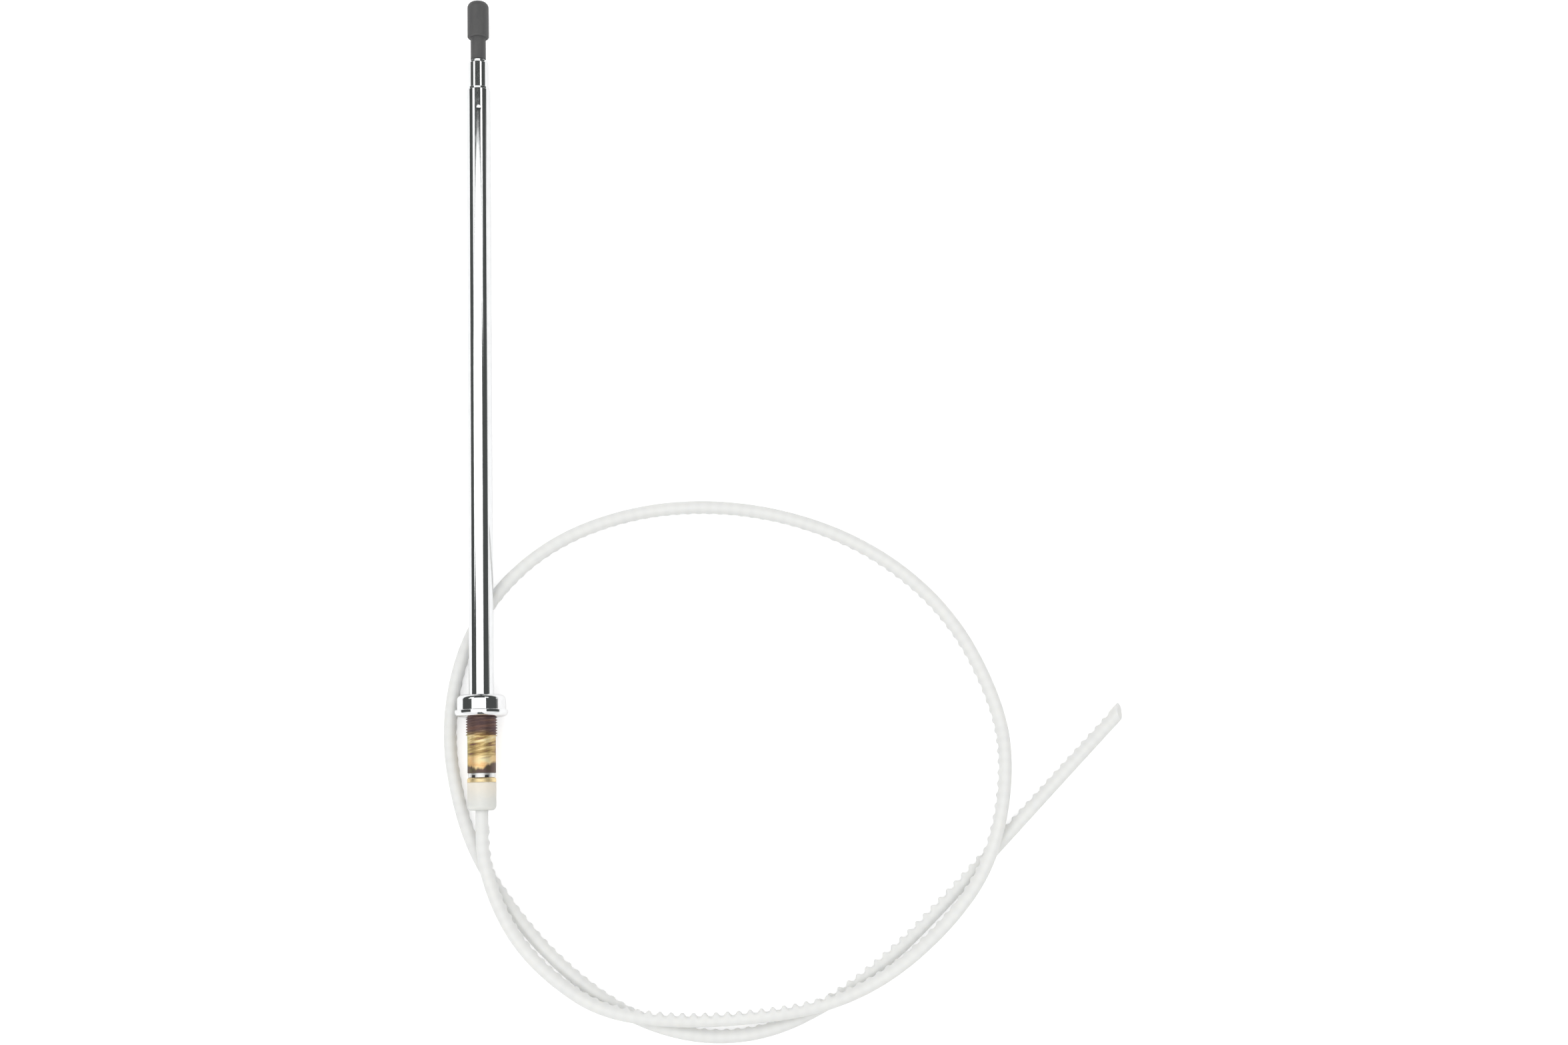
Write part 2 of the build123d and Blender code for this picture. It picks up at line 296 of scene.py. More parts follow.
def chrome(name, colour, roughness, line_depth, along, notch_shade_to=None):
    """Bright plate over drawn or turned metal.

    Fine lines run along the mast on drawn tube, and round it on turned work. They and a slow
    cloud of handling haze vary the roughness, and the lines also tilt the surface a little.
    Below the station given as the last argument, the metal is painted a dull near-black:
    painted shade where the outer tube shows through the contact ring's notches.
    """
    finish = Finish(name)
    station, angle, radius = finish.mast_place()
    if along:
        lines = finish.noise(finish.vector(angle * 40.0, station * 0.05, radius), 3.0, 4.0, 0.6)
    else:
        lines = finish.noise(finish.vector(angle * 0.6, station * 9.0, radius * 9.0), 3.0, 3.0)
    haze = finish.noise(finish.vector(angle, station * 0.12, radius), 2.2, 3.0)
    rough = roughness + finish.step(lines, 0.35, 0.75) * 0.03 + finish.step(haze, 0.5, 0.8) * 0.04
    tint = finish.mix(finish.step(haze, 0.35, 0.75), colour, rgb(*[c * 0.95 for c in colour[:3]]))
    metallic = 1.0
    if notch_shade_to is not None:
        # Painted shade: below the station the metal turns a dull near-black, standing in for the
        # shade in the contact ring's notches.
        bare = finish.step(station, notch_shade_to - 0.1, notch_shade_to + 0.1)
        tint = finish.mix(bare, rgb(0.03, 0.03, 0.03), tint)
        rough = rough + (1 - bare) * 0.4
        metallic = bare
    return finish.surface({
        "Base Color": tint,
        "Metallic": metallic,
        "Roughness": rough,
        "Normal": finish.bump(lines, line_depth),
    })


def turned_brass(name, colour, worn, roughness):
    """Brass with lathe rings, duller in patches where it has been handled."""
    finish = Finish(name)
    station, angle, radius = finish.mast_place()
    rings = finish.noise(finish.vector(angle * 0.4, station * 7.0, radius * 7.0), 3.0, 3.0)
    patches = finish.noise(finish.vector(angle * 1.5, station * 0.5, radius), 2.0, 4.0)
    return finish.surface({
        "Base Color": finish.mix(finish.step(patches, 0.4, 0.7), colour, worn),
        "Metallic": 1.0,
        "Roughness": roughness + rings * 0.12,
        "Normal": finish.bump(rings, 0.00002),
    })


def black_moulding(name):
    """Satin black plastic: a fine grain, slow flow marks and a slight bloom."""
    finish = Finish(name)
    x, y, z = finish.place()
    vector = finish.vector(x, y, z)
    grain = finish.noise(vector, 5200.0, 2.0)
    flow = finish.noise(finish.vector(x * 2.0, y * 0.6, z * 2.0), 180.0, 3.0, 0.6, 0.6)
    colour = finish.mix(finish.step(flow, 0.35, 0.7), rgb(0.082, 0.082, 0.083),
                        rgb(0.097, 0.096, 0.095))
    return finish.surface({
        "Base Color": colour,
        "Roughness": 0.46 + flow * 0.12,
        "Normal": finish.bump(grain, 0.000015, 0.6),
        "Specular IOR Level": 0.4,
    })


def nylon(name, warm, cool, warm_station, cool_station, roughness, depth):
    """Natural nylon: milky, lit through from inside, with faint flow marks.

    The plug is warmer towards the brass and greyer towards its free end.
    """
    finish = Finish(name)
    station, angle, radius = finish.mast_place()
    x, y, z = finish.place()
    vector = finish.vector(x, y, z)
    share = finish.step(station, cool_station, warm_station)
    flow = finish.noise(vector, 240.0, 3.0, 0.55, 0.4)
    colour = finish.mix(share, cool, warm)
    shaded = finish.mix(finish.step(flow, 0.4, 0.75) * 0.3, colour,
                        rgb(*[c * 0.93 for c in cool[:3]]))
    grain = finish.noise(vector, 3000.0, 2.0)
    return finish.surface({
        "Base Color": shaded,
        "Roughness": roughness + flow * 0.1,
        "Normal": finish.bump(grain, 0.00001, 0.5),
        "Subsurface Weight": 0.35,
        "Subsurface Radius": (1.0, 0.95, 0.85),
        "Subsurface Scale": depth,
    })


def cable_nylon_finish(name):
    """Milky nylon, with painted shade that greys it down in the grooves, and a painted glow
    of light shining through that makes it a little lighter where the bar is thin.
    """
    finish = Finish(name)
    in_groove = finish.add("Attribute", {"attribute_name": "in_groove"}, out="Fac")
    over_groove = finish.add("Attribute", {"attribute_name": "over_groove"}, out="Fac")
    x, y, z = finish.place()
    vector = finish.vector(x, y, z)
    cloud = finish.noise(vector, 60.0, 3.0, 0.55, 0.3)
    grain = finish.noise(vector, 2600.0, 2.0)
    milky = finish.mix(finish.step(cloud, 0.35, 0.7), rgb(0.755, 0.76, 0.745),
                       rgb(0.735, 0.74, 0.73))
    # Painted light: the colour is lightened over the grooves, where the thin bar would let light
    # through.
    thin_glow_banded = finish.mix(over_groove * 0.3, milky, rgb(0.80, 0.805, 0.79))
    return finish.surface({
        # Painted shade: the colour is greyed down in the grooves, where shade falls in them.
        "Base Color": finish.mix(in_groove * 0.3, thin_glow_banded, rgb(0.64, 0.645, 0.635)),
        "Roughness": 0.36 + cloud * 0.12,
        "Normal": finish.bump(grain, 0.00001, 0.4),
        "Subsurface Weight": 0.8,
        "Subsurface Radius": (1.0, 0.97, 0.9),
        "Subsurface Scale": 0.002,
    })


def passivated_finish(name):
    """Yellow passivated plate: a satin film of peach gold, with streaks of olive and brown, and
    painted reflections that tint the left flank olive and the right flank brown.

    The streaks run aslant round the sleeve below the thread. The film is darkest and most
    purple on the thread, and ends in a ragged dark edge at the free end.
    """
    finish = Finish(name)
    station, angle, radius = finish.mast_place()
    x, y, z = (value * 1000.0 for value in finish.place())
    cloud = finish.noise(finish.vector(x * 0.14, station * 0.22, z * 0.14), 1.0, 4.0, 0.55, 0.4)
    streak = finish.noise(
        finish.vector(x * 0.07, station * 0.62 - x * 0.10, z * 0.07), 1.0, 4.0, 0.6, 0.5
    )
    edge = finish.noise(finish.vector(x * 0.5, z * 0.5, 2.0), 1.0, 2.0, 0.5)
    peach = finish.ramp(
        cloud,
        (0.30, rgb(0.70, 0.42, 0.17)),
        (0.45, rgb(0.95, 0.61, 0.28)),
        (0.58, rgb(1.0, 0.78, 0.42)),
        (0.72, rgb(0.95, 0.84, 0.52)),
    )
    streaked = finish.ramp(
        streak,
        (0.36, rgb(0.22, 0.11, 0.12)),
        (0.44, rgb(0.40, 0.26, 0.10)),
        (0.51, rgb(0.72, 0.54, 0.24)),
        (0.58, rgb(0.96, 0.78, 0.42)),
        (0.68, rgb(0.98, 0.90, 0.62)),
    )
    purple = finish.ramp(
        streak,
        (0.35, rgb(0.19, 0.125, 0.135)),
        (0.50, rgb(0.24, 0.165, 0.15)),
        (0.65, rgb(0.34, 0.21, 0.17)),
    )
    dark = finish.ramp(
        cloud,
        (0.38, rgb(0.13, 0.12, 0.05)),
        (0.50, rgb(0.15, 0.10, 0.09)),
        (0.62, rgb(0.17, 0.15, 0.08)),
    )
    ragged = station + (cloud - 0.5) * 3.0
    body = finish.mix(finish.step(ragged, 19.6, 21.4), peach, streaked)
    # Painted reflection: the left flank, where the floor is reflected at a grazing angle, is
    # tinted olive.
    olive = finish.step(x, -3.6, -5.2) * 0.55
    body = finish.mix(olive, body, rgb(0.50, 0.50, 0.20))
    # Painted reflection: the right flank is tinted brown in the same way.
    brown = finish.step(x, 3.4, 5.4) * 0.5
    body = finish.mix(brown, body, rgb(0.40, 0.28, 0.14))
    at_thread = finish.step(ragged, 27.6, 30.2)
    rise = x.math("ABSOLUTE", x) * 0.42 + x * 0.10
    at_end = 1 - finish.step(station - rise - (edge - 0.5) * 3.5, 14.9, 16.2)
    body = finish.mix(at_thread, body, purple)
    body = finish.mix(at_end, body, dark)
    fine = finish.noise(finish.vector(angle * 0.5, station * 6.0, radius * 6.0), 3.0, 3.0)
    return finish.surface({
        "Base Color": body,
        "Metallic": 0.75,
        "Roughness": 0.42 + cloud * 0.14,
        "Normal": finish.bump(fine, 0.00002),
    })


def rubber_finish(name):
    """Black rubber with a soft bloom and a fine grain."""
    finish = Finish(name)
    x, y, z = finish.place()
    vector = finish.vector(x, y, z)
    grain = finish.noise(vector, 2400.0, 3.0)
    return finish.surface({
        "Base Color": finish.mix(grain, rgb(0.035, 0.035, 0.035), rgb(0.06, 0.06, 0.058)),
        "Roughness": 0.7 + grain * 0.15,
        "Normal": finish.bump(grain, 0.00002, 0.6),
    })


# Station below which the outer tube is painted dark, as painted shade in the contact ring's
# notches.
NOTCH_SHADE_TOP = 14.1

finishes = {
    "bright_chrome": chrome("bright_chrome", rgb(0.86, 0.87, 0.875), 0.05, 0.000002, True),
    "chrome_with_painted_notch_shade": chrome("chrome_with_painted_notch_shade", rgb(0.86, 0.87, 0.875), 0.05, 0.000002, True,
                               NOTCH_SHADE_TOP),
    "nut_chrome": chrome("nut_chrome", rgb(0.87, 0.875, 0.88), 0.045, 0.0000015, False),
    "bright_nickel": chrome("bright_nickel", rgb(0.88, 0.88, 0.86), 0.40, 0.000006, False),
    "black_plastic": black_moulding("black_plastic"),
    "plug_nylon": nylon("plug_nylon", rgb(0.80, 0.745, 0.645), rgb(0.72, 0.725, 0.69),
                        9.5, 1.5, 0.36, 0.0015),
    "liner_nylon": nylon("liner_nylon", rgb(0.80, 0.79, 0.74), rgb(0.80, 0.79, 0.76),
                         41.0, 18.0, 0.40, 0.0005),
    "cable_nylon": cable_nylon_finish("cable_nylon"),
    "yellow_brass": turned_brass("yellow_brass", rgb(0.98, 0.80, 0.46), rgb(0.90, 0.70, 0.38),
                                 0.40),
    "bush_brass": turned_brass("bush_brass", rgb(0.80, 0.63, 0.33), rgb(0.66, 0.50, 0.26), 0.26),
    "spring_bronze": turned_brass("spring_bronze", rgb(0.72, 0.46, 0.28), rgb(0.58, 0.36, 0.22),
                                  0.24),
    "yellow_passivated_steel": passivated_finish("yellow_passivated_steel"),
    "seal_rubber": rubber_finish("seal_rubber"),
}


def finish_piece(piece, slot, body, *nodes, finish=None):
    """New piece in place of CAD nodes, on their body, with its own finish or its slot's."""
    piece.data.materials.append(finishes[finish or slot])
    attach(piece, body)
    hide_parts(*nodes)


# Drive cable.
CABLE_RADIUS = 2.42  # round body of the cable
CROWN_REACH = 3.0  # distance of the teeth's crowns from the cable's middle
CROWN_FULLNESS = 3.0  # power of the crown's superellipse: 2 is an ellipse, more is squarer
RING_SPACING = 0.34
CABLE_SIDES = 28
GROOVE_FLOOR = 1.55  # distance of a valley's floor from the cable's middle
TEETH_START = 20  # the toothed side starts to change 2 mm before this length
TEETH_RISE = 2
PLAIN_END = 4  # length without valleys at the cable's bare end
VALLEY_EDGE = (0.12, 0.78)  # share of the way from a crown to a valley where the flank runs
END_TAPER = 9.0
END_SLANT = 4.2  # how much further the toothed side runs at the cable's bare end

cable_route = [
    (0.0, -0.148, 0.0102),
    (0.0, -0.163, 0.0102),
    (-0.0001, -0.1785, 0.0099),
    (0.0051, -0.1966, 0.0093),
    (0.0139, -0.2123, 0.0089),
    (0.0268, -0.2255, 0.0089),
    (0.0444, -0.2373, 0.0089),
    (0.0695, -0.2416, 0.0089),
    (0.0969, -0.2414, 0.0089),
    (0.1272, -0.238, 0.0089),
    (0.1532, -0.2272, 0.0089),
    (0.1774, -0.2069, 0.0089),
    (0.1934, -0.1849, 0.0089),
    (0.2009, -0.1545, 0.0072),
    (0.1996, -0.1269, 0.0033),
    (0.1818, -0.089, 0.0033),
    (0.1501, -0.0614, 0.0033),
    (0.108, -0.046, 0.0033),
    (0.0635, -0.0447, 0.00305),
    (0.0226, -0.0589, 0.00305),
    (-0.0052, -0.0887, 0.00305),
    (-0.0151, -0.128, 0.00305),
    (-0.0086, -0.166, 0.00305),
    (0.0034, -0.1902, 0.0033),
    (0.0234, -0.2161, 0.0033),
    (0.0497, -0.2377, 0.0033),
    (0.078, -0.2484, 0.0033),
    (0.1061, -0.2477, 0.0033),
    (0.1322, -0.236, 0.0033),
    (0.1562, -0.2188, 0.00275),
    (0.1783, -0.1973, 0.00275),
    (0.1988, -0.1766, 0.003),
    (0.2209, -0.1539, 0.0033),
    (0.2468, -0.1277, 0.0033),
]

# Which way the teeth face: (length from the inner end in millimetres, degrees below the
# loop's inner side). The cable is twisted a little on its way round.
tooth_turn = [
    (0, 62), (106, 58), (126, 4), (140, 0), (178, 0), (192, 14), (206, 48), (260, 50), (320, 50),
    (350, 64), (400, 58), (440, 82), (655, 82), (700, 58), (775, 58), (828, 50), (845, 8),
    (915, 9), (935, 40), (1010, 44),
]

# Teeth passed since the inner end, at lengths along the cable in millimetres.
tooth_count = [
    (0, 0.1), (91.9, 21.5), (155.8, 36.4), (187.8, 43.8), (256.1, 59.6), (288.3, 67.1),
    (315.5, 73.3), (363.6, 85.0), (411.2, 96.5), (664.5, 156.5), (744.4, 175.4), (832.7, 196.1),
    (880.8, 207.1), (928.8, 218.4), (944.8, 222.35), (992.9, 234.5), (1010.9, 238.9),
]


def route_line(points):
    """Points along the route's smooth curve, in millimetres, about half a millimetre apart."""
    curve = bpy.data.curves.new("cable_route", "CURVE")
    curve.dimensions = "3D"
    spline = curve.splines.new("NURBS")
    spline.points.add(len(points) - 1)
    for point, spot in zip(spline.points, points):
        point.co = (*spot, 1.0)
    spline.order_u = 3
    spline.use_endpoint_u = True
    spline.resolution_u = 60
    carrier = bpy.data.objects.new("cable_route", curve)
    bpy.context.scene.collection.objects.link(carrier)
    line = bpy.data.meshes.new_from_object(carrier)
    spots = np.empty(len(line.vertices) * 3)
    line.vertices.foreach_get("co", spots)
    bpy.data.objects.remove(carrier)
    bpy.data.curves.remove(curve)
    bpy.data.meshes.remove(line)
    return spots.reshape(-1, 3) / MM


def unit(vectors):
    return vectors / np.linalg.norm(vectors, axis=-1, keepdims=True)


def smooth_rise(value, low, high):
    """0 below low, 1 above high, and 3t^2 - 2t^3 between."""
    t = np.clip((value - low) / (high - low), 0, 1)
    return t * t * (3 - 2 * t)


def toothed_cable(line):
    """Round bar along the line, with a row of rounded teeth along one side of it.

    The back half of every section is a half circle. At a tooth's crown the toothed half is
    half a superellipse that reaches further out, and in a valley it is a half circle with a
    flat floor. In between, each point lies between the two. The bare end is cut on a slant:
    the last stretch is squeezed along the line with the distance from the toothed side.
    """
    steps = np.linalg.norm(np.diff(line, axis=0), axis=1)
    run = np.concatenate([[0], np.cumsum(steps)])
    length = run[-1]
    rings = int(length / RING_SPACING)
    reach = np.linspace(0, length, rings)
    middle = np.stack([np.interp(reach, run, line[:, i]) for i in range(3)], axis=-1)
    ahead = unit(np.gradient(middle, axis=0))
    inward = unit(np.cross([0.0, 0.0, 1.0], ahead))
    upward = np.cross(ahead, inward)
    turn_at, turn_to = np.array(tooth_turn, float).T
    turn = np.radians(np.interp(reach, turn_at, turn_to))[:, None]
    tooth_side = np.cos(turn) * inward - np.sin(turn) * upward
    flank_side = np.cross(ahead, tooth_side)

    teeth = np.interp(reach, *np.array(tooth_count, float).T)
    from_crown = np.abs(teeth - np.round(teeth)) * 2
    valley = smooth_rise(from_crown, *VALLEY_EDGE)
    valley = valley * (reach > TEETH_START) * (length - reach > PLAIN_END)
    toothed = smooth_rise(reach, TEETH_START - TEETH_RISE, TEETH_START)
    share = (toothed * (1 - valley))[:, None]

    angle = np.linspace(0, 2 * math.pi, CABLE_SIDES, endpoint=False)
    cosine, sine = np.cos(angle), np.sin(angle)
    low = np.minimum(CABLE_RADIUS * cosine, GROOVE_FLOOR)
    low = np.where(toothed[:, None] > 0, low, CABLE_RADIUS * cosine)
    low_beside = CABLE_RADIUS * sine
    bulge = 2 / CROWN_FULLNESS
    high = np.where(cosine > 0, CROWN_REACH * np.abs(cosine) ** bulge, CABLE_RADIUS * cosine)
    round_side = CABLE_RADIUS * np.sign(sine) * np.abs(sine) ** bulge
    high_beside = np.where(cosine > 0, round_side, low_beside)
    cut = low + (high - low) * share
    beside = low_beside + (high_beside - low_beside) * share

    into_taper = np.clip(1 - (length - reach) / END_TAPER, 0, 1)[:, None]
    slant = into_taper * END_SLANT * (cut - CABLE_RADIUS) / (2 * CABLE_RADIUS)
    points = (
        middle[:, None]
        + cut[..., None] * tooth_side[:, None]
        + beside[..., None] * flank_side[:, None]
        + slant[..., None] * ahead[:, None]
    ).reshape(-1, 3)
    ends = np.stack([middle[0], middle[-1] - ahead[-1] * END_SLANT / 2])
    count = len(points)
    fans = [
        end_fan(0, CABLE_SIDES, count, False),
        end_fan(count - CABLE_SIDES, CABLE_SIDES, count + 1, True),
    ]
    quads = grid_quads(rings, CABLE_SIDES, False)
    piece = mesh_piece("toothed_drive_cable", np.concatenate([points, ends]), quads, fans, 60)
    # Shares for the cable's painted light and shade: painted shade down in the grooves, and a
    # painted glow over them where the bar is thin.
    in_groove = smooth_rise(valley[:, None] * cosine, 0.2, 0.7)
    over_groove = np.broadcast_to(valley[:, None], cut.shape)
    for label, shade in (("in_groove", in_groove), ("over_groove", over_groove)):
        values = np.append(shade.reshape(-1), [0.0, 0.0]).astype(np.float32)
        attribute = piece.data.attributes.new(label, "FLOAT", "POINT")
        attribute.data.foreach_set("value", values)
    return piece, length


centreline = route_line(cable_route)
cable, cable_length = toothed_cable(centreline)
finish_piece(cable, "cable_nylon", "base", "drive_cable")
print("cable length", round(cable_length, 1), "mm")

# Sections of the mast, pushed in.
LIP = 1.2  # length of each rolled mouth
BEAD = 0.8  # length of the bead that ends it
DIMPLE = (276.2, 0.16)  # station and angle of the punch mark that holds the top guide
DIMPLE_SIZE = 0.55
DIMPLE_DEPTH = 0.10
OUTER_SKIN = 4.65  # only the outer tube's skin, beyond this radius, is punched


def lipped_tube(name, bottom, mouth, radius, bore, lip_radius, sides=160, shift=None, extra=()):
    """Drawn tube, its mouth rolled in to a bead that flares a little towards the tip."""
    bead_radius = (radius + lip_radius) / 2
    return turned(name, [
        (bottom, bore, 0.08),
        (bottom, radius, 0.10),
        *extra,
        (mouth - BEAD, radius, 0.25),
        (mouth - BEAD, bead_radius - 0.10, 0.03),
        (mouth, bead_radius + 0.10, 0.12),
        (mouth, lip_radius, 0.05),
        (mouth - LIP, lip_radius, 0.06),
        (mouth - LIP, bore, 0.04),
    ], sides=sides, shift=shift)


def punch_dimple(station, radius, angle):
    """Outer skin pushed in round the punch mark by a bell curve of the distance from it."""
    off = np.hypot(station - DIMPLE[0], (angle - DIMPLE[1]) * radius)
    push = DIMPLE_DEPTH * np.exp(-((off / DIMPLE_SIZE) ** 2))
    return station, radius - np.where(radius > OUTER_SKIN, push, 0.0)


punched = [(float(s), 4.7, 0) for s in np.arange(DIMPLE[0] - 1.5, DIMPLE[0] + 1.6, 0.15)]
outer_tube = lipped_tube(
    "chromed_outer_tube", 2.55, 285.5, 4.7, 4.4, 4.1, sides=200, shift=punch_dimple, extra=punched
)
# The outer tube's finish carries painted shade below the contact ring's notches.
finish_piece(outer_tube, "bright_chrome", "base", "outer_tube", finish="chrome_with_painted_notch_shade")
second_tube = lipped_tube("chromed_second_section", 3.0, 296.75, 4.0, 3.7, 3.3)
finish_piece(second_tube, "bright_chrome", "second", "second_section")
third_tube = lipped_tube("chromed_third_section", 3.4, 297.35, 3.2, 2.9, 2.3)
finish_piece(third_tube, "bright_chrome", "third", "third_section")
rod = turned("chromed_inner_rod", [
    (14.05, 1.7, 0.08),
    (14.05, 2.2, 0.10),
    (312.95, 2.2, 0.10),
    (312.95, 1.7, 0.08),
])
finish_piece(rod, "bright_chrome", "tip_rod", "inner_rod")

# Moulded tip, pressed on the rod.
tip = turned("moulded_tip", [
    (313.0, 0.0, 0),
    (313.0, 2.25, 0.05),
    (297.45, 2.25, 0.10),
    (297.45, 3.0, 0.18),
    (306.4, 3.0, 0.25),
    (306.4, 3.75, 0.30),
    (306.9, 4.25, 0.45),
    (321.6, 4.25, 2.6),
    (321.6, 0.0, 0),
], closed=False, arc_steps=12)
finish_piece(tip, "black_plastic", "tip_rod", "tip_cap")

# Collar: the nut and the sleeve that it is tightened on.
nut = turned("chromed_collar_nut", [
    (35.45, 6.05, 0.10),
    (35.45, 7.9, 0.50),
    (36.1, 10.2, 1.7),
    (38.1, 10.2, 0.15),
    (38.1, 9.35, 0.15),
    (43.85, 9.35, 1.8),
    (43.85, 4.95, 0.25),
    (42.85, 4.9, 0.05),
    (42.85, 6.05, 0.05),
], sides=192, arc_steps=14)
finish_piece(nut, "nut_chrome", "collar", "collar_nut")

THREAD_PITCH = 1.0
THREAD_DEPTH = 0.60
THREAD_START = 27.75
THREAD_FULL = 28.35
THREAD_END = 35.45
THREAD_FADE = 0.3
THREAD_CROWN = 0.14  # end of the crown's flat, as a share of half the pitch
THREAD_ROOT = 0.76  # start of the root's flat
RIPPLE_START = 23.5  # a faint ripple grows from here to the thread
RIPPLE_HEIGHT = 0.035
SLEEVE_SKIN = 5.3  # only the sleeve's skin, beyond this radius, is cut


def thread_ridge(station, angle):
    """Height of the thread above its root, from 0 to 1: a V with flats.

    The ridge winds once round per pitch.
    """
    turns = station / THREAD_PITCH + angle / (2 * math.pi)
    from_crown = np.abs(np.mod(turns, 1.0) - 0.5) * 2
    return np.clip((THREAD_ROOT - from_crown) / (THREAD_ROOT - THREAD_CROWN), 0, 1)


def cut_thread(station, radius, angle):
    """Sleeve's skin with the thread raised on its threaded stretch and a ripple below it."""
    share = np.clip((station - THREAD_START) / (THREAD_FULL - THREAD_START), 0, 1)
    fade = np.clip((THREAD_END - station) / THREAD_FADE, 0, 1)
    raised = THREAD_DEPTH * thread_ridge(station, angle) * share * fade
    growing = smooth_rise(station, RIPPLE_START, THREAD_START)
    ripple = RIPPLE_HEIGHT * thread_ridge(station, angle) * growing
    skin = (radius > SLEEVE_SKIN) & (station < THREAD_END)
    return station, np.where(skin, radius + np.where(raised > 0, raised, ripple), radius)


def sleeve_outline():
    """Outline of the sleeve with a dense stretch where the thread is cut."""
    dense = np.arange(RIPPLE_START, THREAD_END - 0.02, THREAD_PITCH / 14)
    return [
        (14.15, 5.05, 0.05),
        (14.15, 5.4, 0.15),
        *[(float(s), 5.4, 0) for s in dense],
        (THREAD_END, 5.4, 0),
        (36.25, 5.4, 0.02),
        (36.25, 6.0, 0.10),
        (40.95, 6.0, 0.15),
        (40.95, 5.05, 0.05),
    ]


sleeve = turned("threaded_passivated_sleeve", sleeve_outline(), sides=168, shift=cut_thread)
finish_piece(sleeve, "yellow_passivated_steel", "collar", "threaded_sleeve")

# Contact ring: its lower rim has six notches, 1.7 mm wide, the first at a quarter turn.
NOTCHES = 6
NOTCH_HALF_ANGLE = 0.164
NOTCH_DEPTH = 0.9
CONTACT_BOTTOM = 12.45


def notch_angles():
    """Angles of the ring's columns, with two close pairs at each notch's walls."""
    middles = math.pi / 2 + np.arange(NOTCHES) * 2 * math.pi / NOTCHES
    wall = NOTCH_HALF_ANGLE + np.array([-0.004, 0.004])
    near = np.concatenate([wall, -wall, np.linspace(-0.14, 0.14, 5)])
    between = np.linspace(0.20, 2 * math.pi / NOTCHES - 0.20, 14)
    columns = (middles[:, None] + np.concatenate([near, between])[None]).reshape(-1)
    return np.unique(np.round(np.mod(columns, 2 * math.pi), 6))


def cut_notches(station, radius, angle):
    """Lower rim lifted by the notch's depth wherever the angle lies in a notch."""
    sixth = 2 * math.pi / NOTCHES
    off_middle = np.abs(np.mod(angle - math.pi / 2 + sixth / 2, sixth) - sixth / 2)
    in_notch = off_middle < NOTCH_HALF_ANGLE
    low = station < CONTACT_BOTTOM + NOTCH_DEPTH
    lifted = CONTACT_BOTTOM + NOTCH_DEPTH + (station - CONTACT_BOTTOM) * 0.1
    return np.where(in_notch & low, lifted, station), radius


contact = turned("castellated_contact_ring", [
    (12.45, 4.8, 0.04),
    (12.45, 5.2, 0.06),
    (14.05, 5.2, 0.08),
    (14.05, 5.0, 0.04),
    (17.05, 5.0, 0.05),
    (17.05, 4.8, 0.04),
], angles=notch_angles(), arc_steps=4, shift=cut_notches)
finish_piece(contact, "bright_nickel", "contact", "contact_ring")

# Base: brass ring and nylon plug.
ring = turned("brass_base_ring", [
    (10.65, 4.75, 0.06),
    (10.65, 5.5, 0.12),
    (11.95, 5.5, 0.15),
    (12.35, 5.1, 0.10),
    (12.35, 4.75, 0.06),
])
finish_piece(ring, "yellow_brass", "base", "base_ring")

plug = turned("nylon_base_plug", [
    (0.0, 2.6, 0.15),
    (0.0, 5.5, 1.7),
    (10.6, 5.5, 0.15),
    (10.6, 4.75, 0.08),
    (2.5, 4.75, 0.05),
    (2.5, 2.6, 0.08),
], arc_steps=9)
finish_piece(plug, "plug_nylon", "base", "base_plug")

# Pieces kept as the frame has them, with their finishes.
kept_finishes = {
    "insulating_liner": "liner_nylon",
    "nut_seal": "seal_rubber",
    "second_stop_ring": "bush_brass",
    "third_stop_ring": "bush_brass",
    "second_retaining_ring": "bush_brass",
    "third_retaining_ring": "bush_brass",
    "rod_ferrule": "bush_brass",
    "second_friction_shells": "spring_bronze",
    "third_friction_shells": "spring_bronze",
    "rod_friction_shells": "spring_bronze",
}
for node, slot in kept_finishes.items():
    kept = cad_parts[node]
    for holder in kept.material_slots:
        holder.material = finishes[slot]


FLOOR_GLOW = 0.4
GLOSSY_SHARE = 0.4  # how far a reflection shows the table as background


def flat_panel(name, width, depth, centre):
    """Flat rectangle facing up."""
    x, y, z = centre
    corners = [(-1, -1), (1, -1), (1, 1), (-1, 1)]
    spots = [(x + sx * width / 2, y + sy * depth / 2, z) for sx, sy in corners]
    mesh = bpy.data.meshes.new(name)
    mesh.from_pydata(spots, [], [(0, 1, 2, 3)])
    panel = bpy.data.objects.new(name, mesh)
    bpy.context.scene.collection.objects.link(panel)
    return panel


def seen_rays(finish):
    """How far a ray shows the table as background: fully from the camera, less by gloss."""
    camera, glossy, clear = [finish.add("LightPath", out=name) for name in
                             ("Is Camera Ray", "Is Glossy Ray", "Is Transmission Ray")]
    return camera.math("MINIMUM", camera + glossy * GLOSSY_SHARE + clear, 1.0)


def floor_finish():
    """White matt table, brighter where it is only seen as background."""
    finish = Finish("white_table")
    matt = finish.add("BsdfDiffuse", None, {"Color": rgb(0.86, 0.86, 0.86)})
    strength = seen_rays(finish) * FLOOR_GLOW
    glow = finish.add("Emission", None, {"Color": rgb(1, 1, 1), "Strength": strength})
    both = finish.add("AddShader", None, {0: matt, 1: glow})
    finish.add("OutputMaterial", None, {"Surface": both})
    return finish.material


table = flat_panel("table", 6.0, 6.0, (0.0, 0.0, -0.0002))
table.data.materials.append(floor_finish())

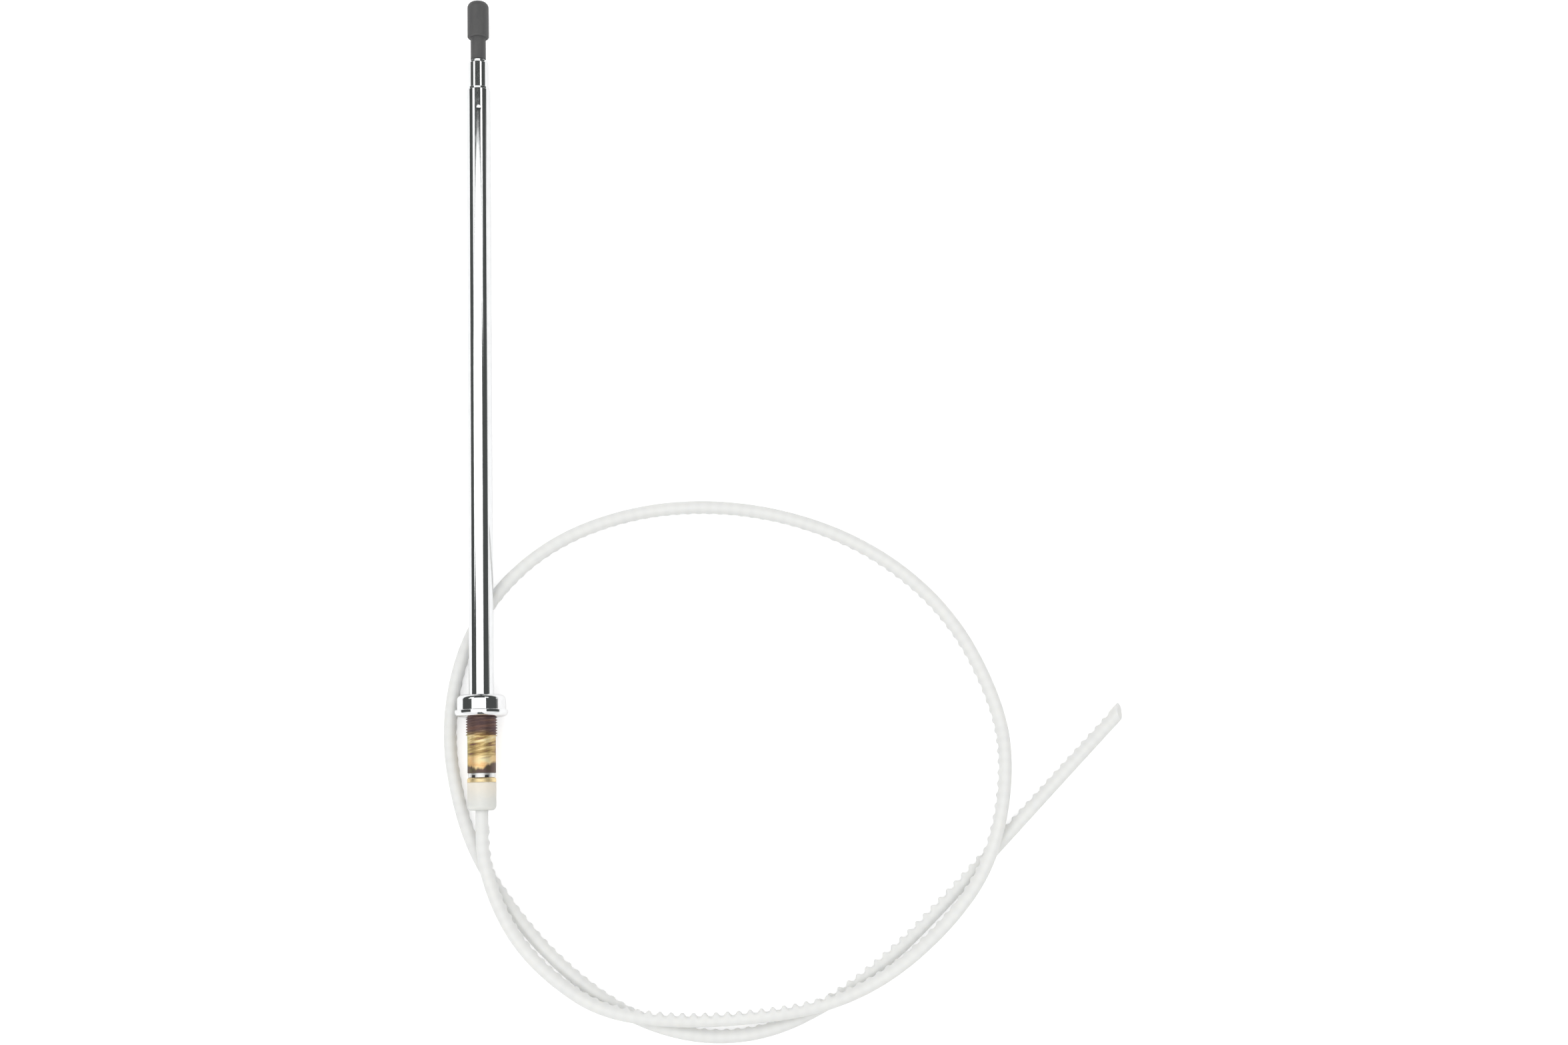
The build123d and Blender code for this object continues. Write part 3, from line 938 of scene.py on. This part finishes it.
# The room: white to the camera, and plain soft light for everything matt. In reflections it is
# dim above the table's edge, except towards the base's end, on both sides of a narrow wedge that
# is dim too, and low down on the right.
world = bpy.data.worlds.new("room")
bpy.context.scene.world = world
world.use_nodes = True
room = Finish("room", world.node_tree)
direction = room.add("TexCoord", out="Generated")
aside, along, height = [room.add("SeparateXYZ", None, {0: direction}, out=i) for i in range(3)]
camera_ray = room.add("LightPath", out="Is Camera Ray")
glossy_ray = room.add("LightPath", out="Is Glossy Ray")
above = room.step(height, -0.02, 0.0)
low_right = room.step(aside, 0.1, 0.3) * (1 - room.step(height, 0.14, 0.18))
low_right = low_right * room.step(along, 0.05, 0.12) * (1 - room.step(along, 0.27, 0.34))
straight = 1 - room.step(aside.math("ABSOLUTE", aside), 0.14, 0.20)
towards_tip = room.step(along, -0.40, -0.25)
dark = above * (1 - low_right) * towards_tip.math("MAXIMUM", towards_tip, straight)
dim = room.mix(dark, rgb(1, 1, 1), rgb(0.075, 0.08, 0.078))
lit = room.mix(glossy_ray, rgb(0.66, 0.66, 0.66), dim)
seen = room.mix(camera_ray, lit, rgb(1, 1, 1))
glow = room.add("Background", None, {"Color": seen, "Strength": 1.0})
room.add("OutputWorld", None, {"Surface": glow})


def soft_lamp(name, x_range, y_range, height, radiance):
    """Rectangular soft lamp facing down. Its power is its radiance times pi times its area."""
    width = x_range[1] - x_range[0]
    depth = y_range[1] - y_range[0]
    lamp = bpy.data.lights.new(name, "AREA")
    lamp.shape = "RECTANGLE"
    lamp.size = width
    lamp.size_y = depth
    lamp.energy = radiance * math.pi * width * depth
    holder = bpy.data.objects.new(name, lamp)
    holder.location = (sum(x_range) / 2, sum(y_range) / 2, height)
    bpy.context.scene.collection.objects.link(holder)


soft_lamp("overhead", (-1.60, 1.10), (-1.6, 0.76), 2.0, 1.25)
soft_lamp("left_near", (-2.80, -1.62), (0.27, 0.77), 2.0, 1.25)
soft_lamp("left_far", (-2.50, -1.18), (0.79, 1.9), 2.0, 1.25)
soft_lamp("right_near", (1.12, 1.66), (0.60, 0.77), 2.0, 1.25)
soft_lamp("right_far", (0.96, 1.90), (0.79, 1.9), 2.0, 1.25)

# Camera: almost straight above, tipped 8 degrees, turned 1.386 degrees about the vertical.
TILT = math.radians(8)
YAW = math.radians(-1.386)
look = Matrix.Rotation(YAW, 3, "Z") @ Matrix.Rotation(TILT, 3, "X")
camera_data = bpy.data.cameras.new("camera")
camera_data.lens = 50
camera_data.sensor_width = 36
camera = bpy.data.objects.new("camera", camera_data)
camera.matrix_world = Matrix.Translation(Vector((0.11477, -0.17056, 0.84629))) @ look.to_4x4()
bpy.context.scene.collection.objects.link(camera)
bpy.context.scene.camera = camera
bpy.context.scene.view_settings.view_transform = "Standard"
